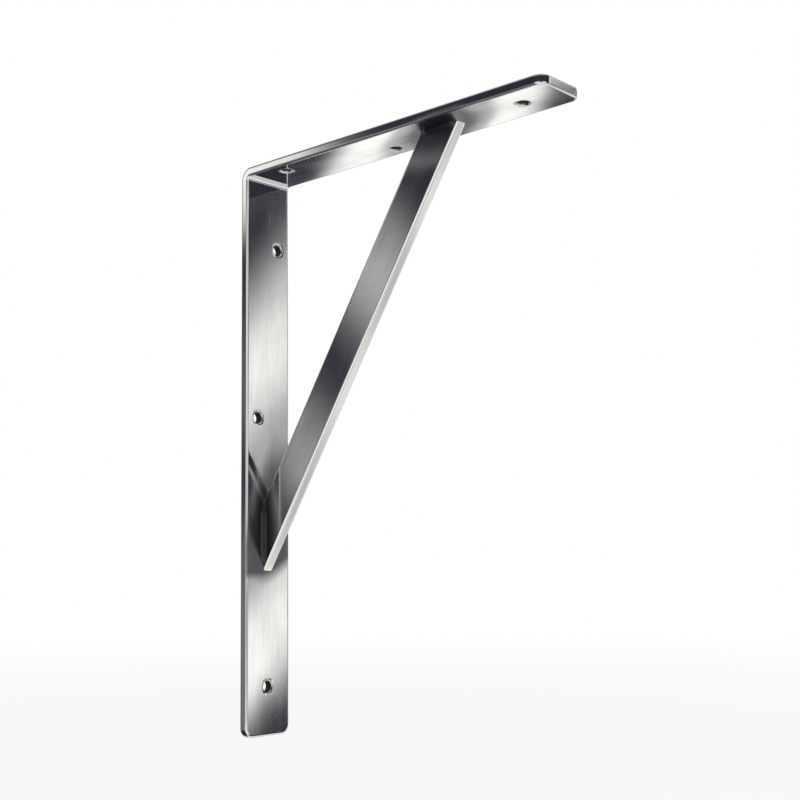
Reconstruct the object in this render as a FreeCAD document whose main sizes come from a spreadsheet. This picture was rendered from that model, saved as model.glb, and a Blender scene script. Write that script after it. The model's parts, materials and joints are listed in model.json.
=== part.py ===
import FreeCAD, Part
import Sketcher
import enum
import math
import os

# Gallows shelf bracket, in millimetres.
# A flat bar is bent once into an L: the upright is screwed to a wall, the arm to the shelf above it.
# A narrower flat bar stands on edge between them as a strut, welded to both at mid-width.
#
# Frame: the wall is the plane X = 0 and the bracket stands out from it along +X, with Z up.
# Y = 0 is the middle of the bar's width.
# Z = 0 is the height of the top wall screw, so the shelf lies on the plane Z = +wall_top_drop.

# Driving dimensions: name, size and what it is
SIZES = [
    ("upright_length", 300, "shelf plane down to the lower end of the upright"),
    ("arm_length", 200, "wall plane out to the free end of the arm"),
    ("bar_width", 30, "width of the bent bar, along Y"),
    ("bar_thickness", 5, "thickness of the bent bar"),
    ("inner_bend_radius", 2, "radius on the inner side of the bend"),
    ("end_corner_radius", 5, "rounded corners at both ends of the bent bar"),
    ("edge_rounding", 1, "rounding all along the edges of the bent bar"),
    ("strut_width", 20, "width of the strut, across its run in the XZ plane"),
    ("strut_thickness", 6, "thickness of the strut, along Y"),
    ("strut_edge_rounding", 1, "rounding along the four long edges of the strut"),
    ("strut_drop", 197, "shelf plane down to the middle of the strut's seat on the upright"),
    ("strut_reach", 130, "wall plane out to the middle of the strut's seat on the arm"),
    ("screw_hole_diameter", 5.5, "clear hole for a 5 mm wood screw"),
    ("screw_rim_width", 0.8, "width of the broken rim on the side where the screw enters"),
    ("screw_stagger", 7, "how far the inner and middle screws stand to one side of mid-width"),
    ("wall_top_drop", 42, "shelf plane down to the top wall screw"),
    ("wall_middle_drop", 135, "shelf plane down to the middle wall screw"),
    ("wall_end_margin", 25, "lower end of the upright up to the bottom wall screw"),
    ("shelf_back_reach", 27, "wall plane out to the back shelf screw"),
    ("shelf_middle_reach", 93, "wall plane out to the middle shelf screw"),
    ("shelf_end_margin", 22, "free end of the arm back to the front shelf screw"),
    ("weld_leg", 2.2, "leg of each weld bead, on the bar and on the strut"),
    ("weld_crown", 0.3, "how far a bead's face bulges past the line between its toes"),
    ("weld_end_margin", 1.5, "bead's end back to the rounding of the strut's edge"),
    ("weld_end_rounding", 0.8, "rounding where a bead's face runs out at its ends"),
]
size = {name: value for name, value, meaning in SIZES}

doc = FreeCAD.newDocument("gallows_shelf_bracket")
sheet = doc.addObject("Spreadsheet::Sheet", "Sizes")
for row, (name, value, meaning) in enumerate(SIZES, start=1):
    sheet.set("A%d" % row, meaning)
    sheet.set("B%d" % row, str(value))
    sheet.setAlias("B%d" % row, name)
doc.recompute()

# Lengths that several pieces share, as expressions on the sheet
SHELF_Z = "Sizes.wall_top_drop"
UNDERSIDE_Z = "(Sizes.wall_top_drop - Sizes.bar_thickness)"
STRUT_ANGLE = (
    "atan2(Sizes.strut_reach - Sizes.bar_thickness; Sizes.strut_drop - Sizes.bar_thickness)"
)
HALF_STRUT = "(Sizes.strut_thickness / 2)"

# The same lengths as numbers, to draw each sketch close to its solution
shelf_z = size["wall_top_drop"]
underside_z = shelf_z - size["bar_thickness"]
lower_end_z = shelf_z - size["upright_length"]
strut_angle = math.atan2(
    size["strut_reach"] - size["bar_thickness"], size["strut_drop"] - size["bar_thickness"]
)

# Lengths closer than this, in millimetres, count as equal
TOLERANCE = 1e-4


class Axis(enum.IntEnum):
    """How a sketch numbers its own two axes."""

    HORIZONTAL = -1
    VERTICAL = -2


class Point(enum.IntEnum):
    """How a sketch numbers the points of its lines and arcs."""

    START = 1
    END = 2
    CENTRE = 3


# A sketch's origin is the starting point of its horizontal axis
ORIGIN = (Axis.HORIZONTAL, Point.START)


def new_body(label):
    body = doc.addObject("PartDesign::Body", label)
    body.Label = label
    return body


def new_sketch(body, name, plane_role, offset=None):
    """A sketch on one of the body's own origin planes, moved along its normal by an expression."""
    plane = [f for f in body.Origin.OriginFeatures if f.Role == plane_role][0]
    sketch = body.newObject("Sketcher::SketchObject", name)
    sketch.AttachmentSupport = [(plane, "")]
    sketch.MapMode = "FlatFace"
    if offset:
        sketch.setExpression("AttachmentOffset.Base.z", offset)
    return sketch


def add_line(sketch, start, end):
    return sketch.addGeometry(Part.LineSegment(FreeCAD.Vector(*start, 0), FreeCAD.Vector(*end, 0)))


def add_arc(sketch, centre, radius, start_deg, end_deg):
    circle = Part.Circle(FreeCAD.Vector(*centre, 0), FreeCAD.Vector(0, 0, 1), radius)
    arc = Part.ArcOfCircle(circle, math.radians(start_deg), math.radians(end_deg))
    return sketch.addGeometry(arc)


def tie(sketch, kind, *references):
    sketch.addConstraint(Sketcher.Constraint(kind, *references))


def drive(sketch, name, kind, references, value, expression):
    """A named dimension whose value follows an expression on the sheet."""
    index = sketch.addConstraint(Sketcher.Constraint(kind, *references, value))
    sketch.renameConstraint(index, name)
    sketch.setExpression("Constraints." + name, expression)


def pad_both_ways(body, name, sketch, length):
    pad = body.newObject("PartDesign::Pad", name)
    pad.Profile = sketch
    pad.SideType = "Symmetric"
    pad.setExpression("Length", length)
    sketch.Visibility = False
    doc.recompute()
    return pad


def edges_where(feature, test):
    """Names of the edges of a feature's shape that pass a test."""
    return [
        "Edge%d" % number for number, edge in enumerate(feature.Shape.Edges, start=1) if test(edge)
    ]


def round_edges(body, name, feature, test, radius):
    fillet = body.newObject("PartDesign::Fillet", name)
    fillet.Base = (feature, edges_where(feature, test))
    fillet.setExpression("Radius", radius)
    doc.recompute()
    return fillet


def span(edge, axis):
    """How far an edge reaches along an axis."""
    box = edge.BoundBox
    return {"X": box.XLength, "Y": box.YLength, "Z": box.ZLength}[axis]


# Bent bar: the L outline in the XZ plane, padded to the bar's width

def draw_bar_outline(body):
    sketch = new_sketch(body, "bar_outline", "XZ_Plane")
    thick = size["bar_thickness"]
    inner = size["inner_bend_radius"]
    outer = inner + thick
    reach = size["arm_length"]
    bend = (outer, shelf_z - outer)

    wall_side = add_line(sketch, (0, lower_end_z), (0, bend[1]))
    outer_bend = add_arc(sketch, bend, outer, 90, 180)
    top_side = add_line(sketch, (bend[0], shelf_z), (reach, shelf_z))
    free_end = add_line(sketch, (reach, shelf_z), (reach, underside_z))
    underside = add_line(sketch, (reach, underside_z), (bend[0], underside_z))
    inner_bend = add_arc(sketch, bend, inner, 90, 180)
    front_side = add_line(sketch, (thick, bend[1]), (thick, lower_end_z))
    lower_end = add_line(sketch, (thick, lower_end_z), (0, lower_end_z))

    tie(sketch, "Tangent", wall_side, Point.END, outer_bend, Point.END)
    tie(sketch, "Tangent", outer_bend, Point.START, top_side, Point.START)
    tie(sketch, "Coincident", top_side, Point.END, free_end, Point.START)
    tie(sketch, "Coincident", free_end, Point.END, underside, Point.START)
    tie(sketch, "Tangent", underside, Point.END, inner_bend, Point.START)
    tie(sketch, "Tangent", inner_bend, Point.END, front_side, Point.START)
    tie(sketch, "Coincident", front_side, Point.END, lower_end, Point.START)
    tie(sketch, "Coincident", lower_end, Point.END, wall_side, Point.START)
    tie(sketch, "Coincident", outer_bend, Point.CENTRE, inner_bend, Point.CENTRE)
    for upright_line in (wall_side, free_end, front_side):
        tie(sketch, "Vertical", upright_line)
    for level_line in (top_side, underside, lower_end):
        tie(sketch, "Horizontal", level_line)
    tie(sketch, "PointOnObject", wall_side, Point.START, Axis.VERTICAL)

    drive(sketch, "inner_radius", "Radius", (inner_bend,), inner, "Sizes.inner_bend_radius")
    drive(sketch, "thickness", "DistanceX", (lower_end, Point.END, lower_end, Point.START),
          thick, "Sizes.bar_thickness")
    drive(sketch, "shelf_level", "DistanceY", (*ORIGIN, top_side, Point.END),
          shelf_z, SHELF_Z)
    drive(sketch, "reach", "DistanceX", (*ORIGIN, top_side, Point.END),
          reach, "Sizes.arm_length")
    drive(sketch, "height", "DistanceY", (wall_side, Point.START, top_side, Point.START),
          size["upright_length"], "Sizes.upright_length")
    return sketch


def is_end_corner(edge):
    """The four short edges through the thickness, at the ends of the bar."""
    across = abs(edge.Length - size["bar_thickness"]) < TOLERANCE
    at_arm_end = abs(edge.BoundBox.XMin - size["arm_length"]) < TOLERANCE
    at_lower_end = abs(edge.BoundBox.ZMax - lower_end_z) < TOLERANCE
    return across and span(edge, "Y") < TOLERANCE and (at_arm_end or at_lower_end)


def is_bar_rim(edge):
    """The two closed loops round the bar, without the lines across its faces and thickness."""
    across_face = abs(span(edge, "Y") - size["bar_width"]) < TOLERANCE
    across_thickness = (
        abs(edge.Length - size["bar_thickness"]) < TOLERANCE
        and span(edge, "Y") < TOLERANCE
        and (edge.BoundBox.ZMax < lower_end_z + size["end_corner_radius"] + TOLERANCE
             or edge.BoundBox.XMin > size["arm_length"] - size["end_corner_radius"] - TOLERANCE)
    )
    return not across_face and not across_thickness


def drill_screw_holes(body, name, sketch, centres, upwards):
    """Clear holes right through, with the rim broken where the screw enters.

    centres: for each hole its x and y in the sketch, as numbers and then as expressions;
    a hole with None in place of an expression stays on the sketch's own axis
    """
    diameter = size["screw_hole_diameter"]
    for place, (x, y, x_expression, y_expression) in centres.items():
        circle = Part.Circle(FreeCAD.Vector(x, y, 0), FreeCAD.Vector(0, 0, 1), diameter / 2)
        hole = sketch.addGeometry(circle)
        drive(sketch, place + "_diameter", "Diameter", (hole,), diameter,
              "Sizes.screw_hole_diameter")
        for letter, kind, value, expression, own_axis in (
            ("x", "DistanceX", x, x_expression, Axis.VERTICAL),
            ("y", "DistanceY", y, y_expression, Axis.HORIZONTAL),
        ):
            if expression is None:
                tie(sketch, "PointOnObject", hole, Point.CENTRE, own_axis)
            else:
                drive(sketch, place + "_" + letter, kind,
                      (*ORIGIN, hole, Point.CENTRE), value, expression)
    doc.recompute()
    drill = body.newObject("PartDesign::Hole", name)
    drill.Profile = sketch
    drill.DepthType = "ThroughAll"
    drill.Reversed = upwards
    drill.setExpression("Diameter", "Sizes.screw_hole_diameter")
    drill.HoleCutType = "Countersink"
    drill.HoleCutCountersinkAngle = 90
    drill.setExpression("HoleCutDiameter", "Sizes.screw_hole_diameter + 2 * Sizes.screw_rim_width")
    sketch.Visibility = False
    doc.recompute()
    return drill


def make_bent_bar():
    body = new_body("bent_bar")
    outline = draw_bar_outline(body)
    blank = pad_both_ways(body, "bar_blank", outline, "Sizes.bar_width")
    corners = round_edges(body, "end_corners", blank, is_end_corner, "Sizes.end_corner_radius")
    round_edges(body, "bar_edges", corners, is_bar_rim, "Sizes.edge_rounding")

    stagger = size["screw_stagger"]
    wall_holes = new_sketch(body, "wall_screw_centres", "YZ_Plane", "Sizes.bar_thickness")
    bottom_z = lower_end_z + size["wall_end_margin"]
    drill_screw_holes(body, "wall_screw_holes", wall_holes, {
        "top": (stagger, 0, "Sizes.screw_stagger", None),
        "middle": (-stagger, shelf_z - size["wall_middle_drop"],
                   "-Sizes.screw_stagger", "Sizes.wall_top_drop - Sizes.wall_middle_drop"),
        "bottom": (0, bottom_z, None,
                   "Sizes.wall_top_drop - Sizes.upright_length + Sizes.wall_end_margin"),
    }, upwards=False)

    shelf_holes = new_sketch(body, "shelf_screw_centres", "XY_Plane", UNDERSIDE_Z)
    drill_screw_holes(body, "shelf_screw_holes", shelf_holes, {
        "back": (size["shelf_back_reach"], -stagger,
                 "Sizes.shelf_back_reach", "-Sizes.screw_stagger"),
        "middle": (size["shelf_middle_reach"], stagger,
                   "Sizes.shelf_middle_reach", "Sizes.screw_stagger"),
        "front": (size["arm_length"] - size["shelf_end_margin"], 0,
                  "Sizes.arm_length - Sizes.shelf_end_margin", None),
    }, upwards=True)
    return body


# Strut: a four-sided outline in the XZ plane, cut flush with the upright and the arm

def draw_strut_outline(body):
    sketch = new_sketch(body, "strut_outline", "XZ_Plane")
    thick = size["bar_thickness"]
    seat_z = shelf_z - size["strut_drop"]
    reach = size["strut_reach"]
    half_on_upright = size["strut_width"] / 2 / math.sin(strut_angle)
    half_on_arm = size["strut_width"] / 2 / math.cos(strut_angle)

    lower_cut = add_line(sketch, (thick, seat_z - half_on_upright), (thick, seat_z + half_on_upright))
    inner_side = add_line(sketch, (thick, seat_z + half_on_upright), (reach - half_on_arm, underside_z))
    upper_cut = add_line(sketch, (reach - half_on_arm, underside_z), (reach + half_on_arm, underside_z))
    outer_side = add_line(sketch, (reach + half_on_arm, underside_z), (thick, seat_z - half_on_upright))
    middle_line = add_line(sketch, (thick, seat_z), (reach, underside_z))
    sketch.toggleConstruction(middle_line)

    sides = (lower_cut, inner_side, upper_cut, outer_side)
    for line, following in zip(sides, sides[1:] + sides[:1]):
        tie(sketch, "Coincident", line, Point.END, following, Point.START)
    tie(sketch, "Vertical", lower_cut)
    tie(sketch, "Horizontal", upper_cut)
    tie(sketch, "Symmetric", lower_cut, Point.START, lower_cut, Point.END, middle_line, Point.START)
    tie(sketch, "Symmetric", upper_cut, Point.START, upper_cut, Point.END, middle_line, Point.END)
    tie(sketch, "Parallel", inner_side, outer_side)

    drive(sketch, "upright_face", "DistanceX", (*ORIGIN, middle_line, Point.START),
          thick, "Sizes.bar_thickness")
    drive(sketch, "seat_drop", "DistanceY", (middle_line, Point.START, *ORIGIN),
          -seat_z, "Sizes.strut_drop - Sizes.wall_top_drop")
    drive(sketch, "seat_reach", "DistanceX", (*ORIGIN, middle_line, Point.END),
          reach, "Sizes.strut_reach")
    drive(sketch, "arm_face", "DistanceY", (*ORIGIN, middle_line, Point.END),
          underside_z, UNDERSIDE_Z)
    drive(sketch, "width", "Distance", (lower_cut, Point.START, inner_side),
          size["strut_width"], "Sizes.strut_width")
    return sketch


def is_strut_long_edge(edge):
    """The four edges that run from the upright to the arm."""
    return span(edge, "X") > size["strut_width"] and span(edge, "Z") > size["strut_width"]


def make_strut():
    body = new_body("strut")
    outline = draw_strut_outline(body)
    blank = pad_both_ways(body, "strut_blank", outline, "Sizes.strut_thickness")
    round_edges(body, "strut_edges", blank, is_strut_long_edge, "Sizes.strut_edge_rounding")
    return body


# Weld beads: a three-cornered section with a crowned face, run along each side of each strut end

def add_bead_face(sketch, bar_toe, crown, strut_toe):
    """The arc through three points, drawn anticlockwise, and which of its ends lies at which toe."""
    run = (crown[0] - bar_toe[0], crown[1] - bar_toe[1])
    rise = (strut_toe[0] - bar_toe[0], strut_toe[1] - bar_toe[1])
    anticlockwise = run[0] * rise[1] - run[1] * rise[0] > 0
    ends = (bar_toe, strut_toe) if anticlockwise else (strut_toe, bar_toe)
    points = [FreeCAD.Vector(*point, 0) for point in (ends[0], crown, ends[1])]
    face = sketch.addGeometry(Part.Arc(*points))
    if anticlockwise:
        return face, Point.START, Point.END
    return face, Point.END, Point.START


def draw_bead_section(body, plane_role, offset, width_first, seat, side, away):
    """A bead's section, with its legs running out from the corner where strut and bar meet.

    width_first: whether the sketch's first axis is the one across the bar, or its second
    seat: where the bar's face lies along the other axis, as a number and as an expression
    side: +1 or -1, the side of the strut that the bead lies on, along the bar's width
    away: +1 or -1, the way that leads off the bar's face
    """
    sketch = new_sketch(body, body.Label + "_section", plane_role, offset)
    seat, seat_expression = seat
    leg = size["weld_leg"]
    half = size["strut_thickness"] / 2

    def at(across, out):
        point = (side * across, seat + away * out)
        return point if width_first else point[::-1]

    root = at(half, 0)
    bar_toe = at(half + leg, 0)
    strut_toe = at(half, leg)
    bulge = size["weld_crown"] / math.sqrt(2)
    crown = at(half + leg / 2 + bulge, leg / 2 + bulge)
    bar_leg = add_line(sketch, root, bar_toe)
    strut_leg = add_line(sketch, strut_toe, root)
    face, bar_point, strut_point = add_bead_face(sketch, bar_toe, crown, strut_toe)
    tie(sketch, "Coincident", strut_leg, Point.END, bar_leg, Point.START)
    tie(sketch, "Coincident", bar_leg, Point.END, face, bar_point)
    tie(sketch, "Coincident", face, strut_point, strut_leg, Point.START)
    tie(sketch, "Horizontal" if width_first else "Vertical", bar_leg)
    tie(sketch, "Vertical" if width_first else "Horizontal", strut_leg)
    tie(sketch, "Equal", bar_leg, strut_leg)

    across_kind = "DistanceX" if width_first else "DistanceY"
    out_kind = "DistanceY" if width_first else "DistanceX"
    drive(sketch, "strut_side", across_kind, (*ORIGIN, bar_leg, Point.START),
          side * half, "%d * %s" % (side, HALF_STRUT))
    drive(sketch, "bar_face", out_kind, (*ORIGIN, bar_leg, Point.START),
          seat, seat_expression)
    drive(sketch, "leg", "Distance", (bar_leg, Point.START, bar_leg, Point.END),
          leg, "Sizes.weld_leg")
    chord = math.sqrt(2) * leg
    crown_height = size["weld_crown"]
    radius = (chord ** 2 / 4 + crown_height ** 2) / (2 * crown_height)
    drive(sketch, "face_radius", "Radius", (face,), radius,
          "(Sizes.weld_leg ^ 2 / 2 + Sizes.weld_crown ^ 2) / (2 * Sizes.weld_crown)")
    return sketch


def is_bead_end(edge):
    """The curved edges where the crowned face meets the two ends of a bead."""
    return edge.Curve.TypeId == "Part::GeomCircle"


def make_weld(end, hand, side):
    """One bead: end is the strut end that it runs along, hand the side of the strut."""
    body = new_body("weld_%s_%s" % (end, hand))
    flat_side = "(Sizes.strut_width - 2 * Sizes.strut_edge_rounding)"
    if end == "upper":
        section = draw_bead_section(
            body, "YZ_Plane", "Sizes.strut_reach",
            width_first=True, seat=(underside_z, UNDERSIDE_Z), side=side, away=-1)
        seat_length = "%s / cos(%s)" % (flat_side, STRUT_ANGLE)
    else:
        section = draw_bead_section(
            body, "XY_Plane", "Sizes.wall_top_drop - Sizes.strut_drop",
            width_first=False, seat=(size["bar_thickness"], "Sizes.bar_thickness"),
            side=side, away=1)
        seat_length = "%s / sin(%s)" % (flat_side, STRUT_ANGLE)
    bead = pad_both_ways(body, body.Label + "_bead", section,
                         "%s - 2 * Sizes.weld_end_margin" % seat_length)
    round_edges(body, body.Label + "_ends", bead, is_bead_end, "Sizes.weld_end_rounding")
    return body


pieces = [make_bent_bar(), make_strut()]
for strut_end in ("upper", "lower"):
    for hand, side in (("left", -1), ("right", 1)):
        pieces.append(make_weld(strut_end, hand, side))
doc.recompute()

# Every object has to have recomputed cleanly before anything is written
failed = [o.Label for o in doc.Objects if "Invalid" in o.State or "Error" in o.State]
if failed:
    raise RuntimeError("objects that failed to recompute: " + ", ".join(failed))
for piece in pieces:
    shape = piece.Shape
    if shape.isNull() or not shape.isValid() or len(shape.Solids) != 1:
        raise RuntimeError("no single valid solid in " + piece.Label)

os.makedirs("parts", exist_ok=True)
for piece in pieces:
    piece.Shape.exportStep("parts/%s.step" % piece.Label)
    box = piece.Shape.BoundBox
    print("%-18s volume %9.1f  X %7.2f %7.2f  Y %7.2f %7.2f  Z %8.2f %7.2f" % (
        piece.Label, piece.Shape.Volume, box.XMin, box.XMax, box.YMin, box.YMax, box.ZMin, box.ZMax))
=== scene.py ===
import json
import math
from typing import NamedTuple

import bmesh
import bpy
import numpy as np
from bpy.props import FloatProperty, FloatVectorProperty, IntProperty, PointerProperty
from mathutils import Matrix, Vector


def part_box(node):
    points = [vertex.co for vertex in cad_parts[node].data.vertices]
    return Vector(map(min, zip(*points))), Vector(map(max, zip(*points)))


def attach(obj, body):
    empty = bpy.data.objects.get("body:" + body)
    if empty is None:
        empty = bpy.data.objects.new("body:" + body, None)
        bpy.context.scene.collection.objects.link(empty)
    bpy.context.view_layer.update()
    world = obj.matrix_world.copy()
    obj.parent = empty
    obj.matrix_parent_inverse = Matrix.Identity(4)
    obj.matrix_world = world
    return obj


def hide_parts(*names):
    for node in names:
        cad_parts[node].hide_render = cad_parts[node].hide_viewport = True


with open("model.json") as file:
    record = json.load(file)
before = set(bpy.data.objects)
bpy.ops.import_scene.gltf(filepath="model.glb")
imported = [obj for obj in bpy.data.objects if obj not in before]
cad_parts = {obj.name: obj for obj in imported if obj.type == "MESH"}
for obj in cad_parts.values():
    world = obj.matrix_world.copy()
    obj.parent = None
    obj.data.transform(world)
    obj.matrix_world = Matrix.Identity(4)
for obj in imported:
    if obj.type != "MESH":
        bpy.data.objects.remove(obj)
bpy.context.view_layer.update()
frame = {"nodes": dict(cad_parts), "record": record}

bl_info = {
    "name": "Gallows Shelf Bracket",
    "version": (1, 0, 0),
    "blender": (4, 5, 0),
    "location": "3D View > Sidebar > Shelf Bracket",
    "description": "A bracket of bent flat bar with a welded strut, in bright plated steel",
    "category": "Add Mesh",
}

# Lengths are metres. X runs out from the wall along the arm, Z up to the shelf, Y across the bar.
BAR_LOW, BAR_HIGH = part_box("bent_bar")
STRUT_LOW, STRUT_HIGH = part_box("strut")
MOUNTS = {mount["name"]: mount for mount in frame["record"]["mounts"]}
WALL_SCREWS = ("wall_screw_top", "wall_screw_middle", "wall_screw_bottom")
SHELF_SCREWS = ("shelf_screw_back", "shelf_screw_middle", "shelf_screw_front")
WELD_NODES = sorted(name for name in frame["nodes"] if name.startswith("weld_"))


# Sizes and colours that a user would change

class BentBarSizes(bpy.types.PropertyGroup):
    """The flat bar that is bent to upright and arm."""

    thickness: FloatProperty(
        name="Thickness", description="Thickness of the bar, from the wall to the strut's foot",
        default=STRUT_LOW.x - BAR_LOW.x, min=0.001, unit="LENGTH")
    inner_radius: FloatProperty(
        name="Inner Bend Radius", description="Radius on the inner side of the bend",
        default=0.002, min=0.0005, unit="LENGTH")
    corner_radius: FloatProperty(
        name="Corner Radius", description="Rounded corners at both ends of the bar",
        default=0.005, min=0.002, unit="LENGTH")
    edge_rounding: FloatProperty(
        name="Edge Rounding", description="Rounding all along the bar's edges",
        default=0.001, min=0.0001, unit="LENGTH")
    rim_width: FloatProperty(
        name="Screw Rim Width", description="Width of the broken rim where a screw enters",
        default=0.0008, min=0.0001, unit="LENGTH")
    hole_field: FloatProperty(
        name="Screw Field", description="Half the side of the finely divided square round a hole",
        default=0.006, min=0.004, unit="LENGTH")
    fine_step: FloatProperty(
        name="Fine Step", description="Spacing of points across the bar and round the holes",
        default=0.001, min=0.0005, unit="LENGTH")
    coarse_step: FloatProperty(
        name="Coarse Step", description="Spacing of points along the bar away from the holes",
        default=0.003, min=0.0005, unit="LENGTH")


class StrutSizes(bpy.types.PropertyGroup):
    """The flat bar that stands on edge across the corner."""

    width: FloatProperty(
        name="Width", description="Width of the strut, square to its run",
        default=0.020, min=0.005, unit="LENGTH")
    edge_rounding: FloatProperty(
        name="Edge Rounding", description="Rounding along the strut's four long edges",
        default=0.001, min=0.0001, unit="LENGTH")
    rows: IntProperty(
        name="Rows", description="Rows of faces from the upright to the arm", default=72, min=2)


class WeldSizes(bpy.types.PropertyGroup):
    """The four beads beside the strut's ends."""

    ripple_spacing: FloatProperty(
        name="Ripple Spacing", description="Distance from one ripple of a bead to the next",
        default=0.0013, min=0.0003, unit="LENGTH")
    ripple_depth: FloatProperty(
        name="Ripple Depth", description="Depth of a ripple, as a share of the bead's leg",
        default=0.10, min=0.0, max=0.4, subtype="FACTOR")
    unevenness: FloatProperty(
        name="Unevenness", description="Slow change of a bead's size, as a share of its leg",
        default=0.10, min=0.0, max=0.4, subtype="FACTOR")


class PlateFinish(bpy.types.PropertyGroup):
    """The bright plating on all the pieces."""

    light_tone: FloatVectorProperty(
        name="Light Tone", description="Plating where it is cleanest",
        default=(0.89, 0.895, 0.88), size=3, min=0.0, max=1.0, subtype="COLOR")
    grey_tone: FloatVectorProperty(
        name="Grey Tone", description="Plating where it is thin or stained",
        default=(0.73, 0.735, 0.75), size=3, min=0.0, max=1.0, subtype="COLOR")
    # Dull thin plating in the screw holes, on the bar's ends and the strut's narrow sides, darkened
    # partly as painted shade
    dull_and_shade_tone: FloatVectorProperty(
        name="Dull Tone", description="Thin dark plating inside the screw holes",
        default=(0.16, 0.155, 0.165), size=3, min=0.0, max=1.0, subtype="COLOR")
    # Painted shade: a dark tone laid on the plating beside the welds, where shade falls round the
    # strut's ends
    painted_shade_tone: FloatVectorProperty(
        name="Scorch Tone", description="Heat-marked plating beside the welds",
        default=(0.17, 0.165, 0.19), size=3, min=0.0, max=1.0, subtype="COLOR")
    weld_tone: FloatVectorProperty(
        name="Weld Tone", description="Plating over the weld beads",
        default=(0.07, 0.067, 0.072), size=3, min=0.0, max=1.0, subtype="COLOR")
    roughness: FloatProperty(
        name="Roughness", description="Roughness of the plated faces",
        default=0.06, min=0.0, max=1.0, subtype="FACTOR")
    grain_width: FloatProperty(
        name="Grain Width", description="Width of the rolled streaks that run along a bar",
        default=0.0009, min=0.0001, unit="LENGTH")
    cloud_size: FloatProperty(
        name="Cloud Size", description="Size of the cloudy patches in the plating",
        default=0.022, min=0.001, unit="LENGTH")


class StudioSettings(bpy.types.PropertyGroup):
    """Camera, floor and light."""

    camera_place: FloatVectorProperty(
        name="Camera", description="Where the camera stands",
        default=(0.52005, -0.46672, -0.17708), size=3, unit="LENGTH", subtype="TRANSLATION")
    yaw: FloatProperty(
        name="Yaw", description="How far the camera turns left from looking along Y",
        default=math.radians(42.006), subtype="ANGLE")
    pitch: FloatProperty(
        name="Pitch", description="How far the camera looks up",
        default=math.radians(7.677), subtype="ANGLE")
    roll: FloatProperty(
        name="Roll", description="How far the camera leans over to its right",
        default=math.radians(0.745), subtype="ANGLE")
    lens: FloatProperty(
        name="Lens", description="Focal length in millimetres on a 36 mm sensor",
        default=58.80, min=10.0)
    light_tone: FloatVectorProperty(
        name="Light Tone", description="What the plating mirrors of the bright panels",
        default=(1.15, 1.16, 1.12), size=3, min=0.0, max=2.0, subtype="COLOR")
    dark_tone: FloatVectorProperty(
        name="Dark Tone", description="What the plating mirrors of the gaps between the panels",
        default=(0.030, 0.028, 0.042), size=3, min=0.0, max=2.0, subtype="COLOR")
    floor_tone: FloatVectorProperty(
        name="Floor Tone", description="Colour of the floor",
        default=(0.93, 0.93, 0.93), size=3, min=0.0, max=1.0, subtype="COLOR")


# Surfaces

# Lengths closer than this count as equal
SAME = 1e-7
# Points of neighbouring grids that lie closer than this are sewn together
SEAM = 2e-6
# Edges that turn by more than this stay sharp
CREASE = math.radians(38)
# Decimals to which places along a line are rounded before doubles are dropped
PLACE_DECIMALS = 8
# A span is divided once more only where it passes its last step by this share of a step
STEP_SLACK = 0.01
# Steps of a quarter circle, at the bar's corners and in the rounding of an edge
CORNER_STEPS = 10
ROUNDING_STEPS = 5
# A line this share of a rounding away from it keeps the shading of the flat beside it flat
SUPPORT_SHARE = 0.25
# How worn the plating is, and how dull and darkened by painted shade, from 0 to 1
EDGE_FLAT_WEAR = 0.2
END_DULL_SHADE = 0.12
NARROW_SIDE_DULL_SHADE = 0.25
FIELD_WEAR = 0.35
# How far the painted shade on the bar beside the strut's ends fades towards the bend,
# away from it and sideways
FOOT_PAINTED_SHADE = (0.034, 0.0075, 0.025)
HEAD_PAINTED_SHADE = (0.023, 0.018, 0.030)
# A point so far off the middle of the bar sees the painted shade's ends shifted
# by one whole reach
PAINTED_SHADE_SKEW = 0.0245
# How far the painted shade on the strut fades along it from either end
STRUT_PAINTED_SHADE = 0.018
# Widest step across the flats of the strut's section
FLAT_STEP = 0.0025
# Rounding at a hole's rims as a share of the broken rim, and rings of faces over its field
RIM_SOFTNESS = 0.2
FIELD_STEPS = 5
# A bead's section: its bulge, its size as a share of the leg and the points over its face
WELD_CROWN = 0.09
WELD_FILL = 0.99
WELD_POINTS = 11
WELD_ROWS_PER_RIPPLE = 8
# How bluntly a bead ends: the power of the distance from its middle
WELD_BLUNTNESS = 9
# Slow waves of a bead's size, the half turns and the weakness of the first, and their greatest sum
SLOW_WAVES = 3
SLOW_TURNS = 2
SLOW_WEAKNESS = 1.5
SLOW_PEAK = 1.4
# How far the ripples lag at the toes, how sharp their grooves are and how worn their crests
RIPPLE_LAG = 0.45
RIPPLE_SHARPNESS = 1.5
CREST_WEAR = 0.6


def lines_through(stops, step):
    """Places from the first stop to the last, through every stop, hardly more than a step apart."""
    stops = np.unique(np.round(stops, PLACE_DECIMALS))
    spans = [
        np.linspace(low, high, math.ceil((high - low) / step - STEP_SLACK) + 1)[:-1]
        for low, high in zip(stops, stops[1:])
    ]
    return np.concatenate(spans + [stops[-1:]])


def level(across, along, depth):
    """Points of a grid whose third value is the same everywhere."""
    across, along = np.broadcast_arrays(across, along)
    return np.stack([across, along, np.full(across.shape, depth)], axis=-1)


def quarter_turn(steps):
    """Angles from nothing to a right angle."""
    return np.linspace(0, math.pi / 2, steps + 1)


def add_object(name, data):
    """A new object in the scene, at the origin."""
    new = bpy.data.objects.new(name, data)
    bpy.context.scene.collection.objects.link(new)
    return new


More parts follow.
